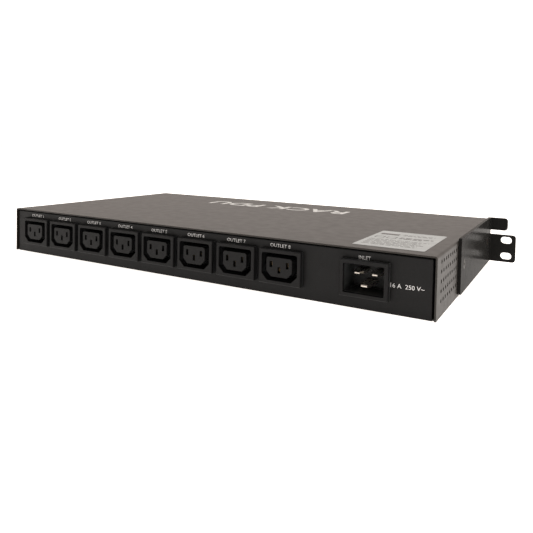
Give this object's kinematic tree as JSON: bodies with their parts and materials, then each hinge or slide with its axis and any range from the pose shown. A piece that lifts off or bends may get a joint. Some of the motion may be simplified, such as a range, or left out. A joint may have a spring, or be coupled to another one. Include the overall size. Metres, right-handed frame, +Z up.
{
  "type": "rack power strip",
  "caption": "19-inch rack power distribution unit with a row of socket outlets, a supply inlet, side vents, bolt-on rack ears and front push buttons.",
  "frame": {"origin": "centre of the body's footprint on the plane it rests on", "axes": "+X to the right when the outlets are faced, +Y from the outlets towards the front panel and the rack ears, +Z up"},
  "size_m": [0.4826, 0.2426, 0.0457],
  "materials": {
    "black_powder_coat": "semi-gloss black powder coat on steel sheet",
    "socket_plastic": "satin black moulded plastic",
    "black_screw_steel": "black oxide steel",
    "plated_steel": "bright zinc plate",
    "nickel_blade": "bright nickel plate",
    "contact_brass": "plain brass",
    "label_film": "satin printed film",
    "circuit_board": "green solder mask",
    "relay_plastic": "black moulded plastic",
    "terminal_plastic": "green moulded plastic",
    "ribbon_grey": "grey flat cable",
    "led_lens": "clear green lens",
    "button_plastic": "dark grey moulded plastic",
    "breaker_button_plastic": "white moulded plastic",
    "wire_brown": "brown insulation",
    "wire_green": "green and yellow insulation"
  },
  "bodies": {
    "chassis": {"floor_tray": "black_powder_coat", "rear_panel": "black_powder_coat", "front_panel": "black_powder_coat", "cover": "black_powder_coat", "rack_ear_right": "black_powder_coat", "rack_ear_left": "black_powder_coat", "ear_screws": "black_screw_steel", "ear_nuts": "plated_steel", "rating_label": "label_film", "inlet_housing": "socket_plastic", "inlet_power_blades": "nickel_blade", "inlet_earth_blade": "nickel_blade", "relay_board": "circuit_board", "control_board": "circuit_board", "board_standoffs": "plated_steel", "board_screws": "plated_steel", "relays": "relay_plastic", "power_module": "relay_plastic", "terminal_block": "terminal_plastic", "ribbon_cable": "ribbon_grey", "network_jack": "plated_steel", "network_jack_contacts": "contact_brass", "button_switches": "relay_plastic", "status_leds": "led_lens", "breaker_nuts": "plated_steel", "neutral_bus": "contact_brass", "earth_bus": "contact_brass", "line_jumpers": "contact_brass", "earth_stud": "plated_steel", "earth_nut": "plated_steel", "mains_wires": "wire_brown", "earth_wires": "wire_green", "outlet_1": "socket_plastic", "outlet_2": "socket_plastic", "outlet_3": "socket_plastic", "outlet_4": "socket_plastic", "outlet_5": "socket_plastic", "outlet_6": "socket_plastic", "outlet_7": "socket_plastic", "outlet_8": "socket_plastic", "outlet_contacts_1": "contact_brass", "outlet_contacts_2": "contact_brass", "outlet_contacts_3": "contact_brass", "outlet_contacts_4": "contact_brass", "outlet_contacts_5": "contact_brass", "outlet_contacts_6": "contact_brass", "outlet_contacts_7": "contact_brass", "outlet_contacts_8": "contact_brass", "breaker_1": "relay_plastic", "breaker_2": "relay_plastic"},
    "outlet_button_1": {"outlet_button_1": "button_plastic"},
    "outlet_button_2": {"outlet_button_2": "button_plastic"},
    "outlet_button_3": {"outlet_button_3": "button_plastic"},
    "outlet_button_4": {"outlet_button_4": "button_plastic"},
    "outlet_button_5": {"outlet_button_5": "button_plastic"},
    "outlet_button_6": {"outlet_button_6": "button_plastic"},
    "outlet_button_7": {"outlet_button_7": "button_plastic"},
    "outlet_button_8": {"outlet_button_8": "button_plastic"},
    "breaker_button_1": {"breaker_button_1": "breaker_button_plastic"},
    "breaker_button_2": {"breaker_button_2": "breaker_button_plastic"}
  },
  "joints": [
    {"name": "outlet_button_1_press", "type": "slide", "parent": "chassis", "child": "outlet_button_1", "axis": [0, -1, 0], "range_m": [0, 0.001], "stiffness_N_per_m": 600, "springref_m": -0.0005},
    {"name": "outlet_button_2_press", "type": "slide", "parent": "chassis", "child": "outlet_button_2", "axis": [0, -1, 0], "range_m": [0, 0.001], "stiffness_N_per_m": 600, "springref_m": -0.0005},
    {"name": "outlet_button_3_press", "type": "slide", "parent": "chassis", "child": "outlet_button_3", "axis": [0, -1, 0], "range_m": [0, 0.001], "stiffness_N_per_m": 600, "springref_m": -0.0005},
    {"name": "outlet_button_4_press", "type": "slide", "parent": "chassis", "child": "outlet_button_4", "axis": [0, -1, 0], "range_m": [0, 0.001], "stiffness_N_per_m": 600, "springref_m": -0.0005},
    {"name": "outlet_button_5_press", "type": "slide", "parent": "chassis", "child": "outlet_button_5", "axis": [0, -1, 0], "range_m": [0, 0.001], "stiffness_N_per_m": 600, "springref_m": -0.0005},
    {"name": "outlet_button_6_press", "type": "slide", "parent": "chassis", "child": "outlet_button_6", "axis": [0, -1, 0], "range_m": [0, 0.001], "stiffness_N_per_m": 600, "springref_m": -0.0005},
    {"name": "outlet_button_7_press", "type": "slide", "parent": "chassis", "child": "outlet_button_7", "axis": [0, -1, 0], "range_m": [0, 0.001], "stiffness_N_per_m": 600, "springref_m": -0.0005},
    {"name": "outlet_button_8_press", "type": "slide", "parent": "chassis", "child": "outlet_button_8", "axis": [0, -1, 0], "range_m": [0, 0.001], "stiffness_N_per_m": 600, "springref_m": -0.0005},
    {"name": "breaker_button_1_trip", "type": "slide", "parent": "chassis", "child": "breaker_button_1", "axis": [0, 1, 0], "range_m": [0, 0.003]},
    {"name": "breaker_button_2_trip", "type": "slide", "parent": "chassis", "child": "breaker_button_2", "axis": [0, 1, 0], "range_m": [0, 0.003]}
  ]
}
